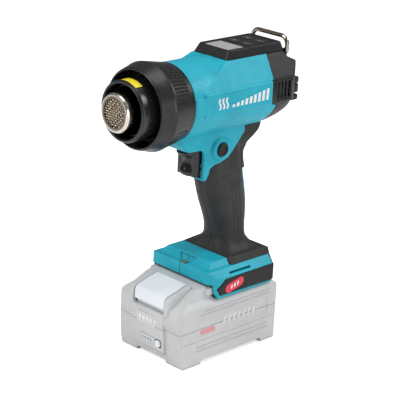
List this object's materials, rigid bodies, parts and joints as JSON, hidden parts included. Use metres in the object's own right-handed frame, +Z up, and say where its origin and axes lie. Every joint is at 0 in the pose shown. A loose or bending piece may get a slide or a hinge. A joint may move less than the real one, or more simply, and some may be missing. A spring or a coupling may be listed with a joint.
{
  "type": "cordless heat gun",
  "caption": "Pistol-grip cordless heat gun with a steel outlet in a ribbed guard, top display, louvred fan intake, wire hook and slide-on battery pack it stands on.",
  "frame": {"origin": "centre of the battery pack's footprint, on the face it stands on, in the plane where the housing halves meet", "axes": "+Z up, -Y the way the outlet points, +X the tool's left side as its user holds it"},
  "size_m": [0.081, 0.1995, 0.2735],
  "materials": {
    "housing": "satin moulded plastic, teal",
    "grip": "soft matte overmould, black",
    "black_plastic": "moulded plastic, fine texture, black",
    "guard": "semi-gloss black",
    "outlet_steel": "turned stainless steel with faint heat tint",
    "mesh_steel": "heat-tinted mesh",
    "wire_steel": "plated spring wire",
    "screw_steel": "zinc plated",
    "spring_steel": "bright spring wire",
    "motor_steel": "zinc plated steel",
    "magnet": "dark ferrite",
    "mica": "rolled mica sheet",
    "ceramic": "unglazed ceramic",
    "heating_wire": "oxidised resistance wire",
    "heat_plastic": "heat-resistant moulded plastic",
    "grey_plastic": "moulded plastic",
    "display_glass": "clear display window",
    "circuit_board": "solder resist on fibreglass board",
    "copper": "copper alloy contacts",
    "cable": "insulated lead",
    "badge": "plain red badge",
    "label": "plain yellow label",
    "lamp": "clear lamp lens",
    "pack": "pale grey moulded plastic",
    "pack_button": "near-white moulded plastic",
    "pack_window": "pale gauge window",
    "cell": "shrink-wrapped steel cell",
    "nickel": "nickel strip"
  },
  "bodies": {
    "gun": {"left_housing": "housing", "right_housing": "housing", "left_grip": "grip", "right_grip": "grip", "housing_screws": "screw_steel", "rear_cover": "black_plastic", "intake_screen": "screw_steel", "outlet_nozzle": "outlet_steel", "outlet_mesh": "mesh_steel", "heat_shield": "outlet_steel", "insulating_sleeve": "mica", "heater_core": "ceramic", "heating_coils": "heating_wire", "temperature_probe": "outlet_steel", "heater_holder": "heat_plastic", "air_duct": "heat_plastic", "fan_housing": "grey_plastic", "motor_can": "motor_steel", "motor_magnets": "magnet", "motor_bearings": "motor_steel", "display_housing": "black_plastic", "display_window": "display_glass", "display_panel": "grey_plastic", "display_board": "circuit_board", "trigger_switch": "grey_plastic", "trigger_spring": "spring_steel", "left_bumper": "black_plastic", "right_bumper": "black_plastic", "foot_badges": "badge", "lamp_lens": "lamp", "lamp_board": "circuit_board", "controller_tray": "grey_plastic", "controller_board": "circuit_board", "terminal_block": "black_plastic", "terminal_blades": "copper", "power_leads": "cable"},
    "fan": {"motor_rotor": "motor_steel", "impeller": "grey_plastic"},
    "hook": {"hanging_hook": "wire_steel"},
    "ring": {"lock_ring": "black_plastic"},
    "guard": {"guard_tube": "guard", "guard_label": "label"},
    "trigger_body": {"trigger": "black_plastic"},
    "lock": {"lock_button": "black_plastic"},
    "heat_up_key": {"heat_up_button": "grip"},
    "heat_down_key": {"heat_down_button": "grip"},
    "air_up_key": {"air_up_button": "grip"},
    "air_down_key": {"air_down_button": "grip"},
    "pack": {"pack_upper_case": "pack", "pack_lower_case": "pack", "pack_screws": "screw_steel", "battery_cells": "cell", "cell_frames": "grey_plastic", "cell_links": "nickel", "pack_board": "circuit_board", "pack_contacts": "copper", "latch_spring": "spring_steel", "gauge_window": "pack_window"},
    "release": {"release_button": "pack_button"},
    "check": {"check_button": "pack_button"}
  },
  "joints": [
    {"name": "trigger_pull", "type": "slide", "parent": "gun", "child": "trigger_body", "axis": [0, 1, 0], "range_m": [0, 0.0065], "stiffness_N_per_m": 700, "springref_m": -0.003, "deforming": ["trigger_spring"]},
    {"name": "lock_push", "type": "slide", "parent": "gun", "child": "lock", "axis": [-1, 0, 0], "range_m": [0, 0.004]},
    {"name": "hook_swing", "type": "hinge", "parent": "gun", "child": "hook", "pos_m": [0, 0.0672, 0.2576], "axis": [-1, 0, 0], "range_deg": [0, 95]},
    {"name": "ring_turn", "type": "hinge", "parent": "gun", "child": "ring", "pos_m": [0, -0.06, 0.228], "axis": [0, -1, 0], "range_deg": [0, 20]},
    {"name": "guard_slide", "type": "slide", "parent": "ring", "child": "guard", "axis": [0, -1, 0], "range_m": [0, 0.045]},
    {"name": "fan_spin", "type": "hinge", "parent": "gun", "child": "fan", "pos_m": [0, 0.02, 0.228], "axis": [0, 1, 0], "continuous": true},
    {"name": "heat_up_press", "type": "slide", "parent": "gun", "child": "heat_up_key", "axis": [0, 0, -1], "range_m": [0, 0.0006], "stiffness_N_per_m": 400, "springref_m": -0.0006},
    {"name": "heat_down_press", "type": "slide", "parent": "gun", "child": "heat_down_key", "axis": [0, 0, -1], "range_m": [0, 0.0006], "stiffness_N_per_m": 400, "springref_m": -0.0006},
    {"name": "air_up_press", "type": "slide", "parent": "gun", "child": "air_up_key", "axis": [0, 0, -1], "range_m": [0, 0.0006], "stiffness_N_per_m": 400, "springref_m": -0.0006},
    {"name": "air_down_press", "type": "slide", "parent": "gun", "child": "air_down_key", "axis": [0, 0, -1], "range_m": [0, 0.0006], "stiffness_N_per_m": 400, "springref_m": -0.0006},
    {"name": "pack_slide", "type": "slide", "parent": "gun", "child": "pack", "axis": [0, -1, 0], "range_m": [0, 0.095]},
    {"name": "release_press", "type": "slide", "parent": "pack", "child": "release", "axis": [0, 0, -1], "range_m": [0, 0.004], "stiffness_N_per_m": 900, "springref_m": -0.003, "deforming": ["latch_spring"]},
    {"name": "check_press", "type": "slide", "parent": "pack", "child": "check", "axis": [0, 1, 0], "range_m": [0, 0.001], "stiffness_N_per_m": 400, "springref_m": -0.0006}
  ]
}
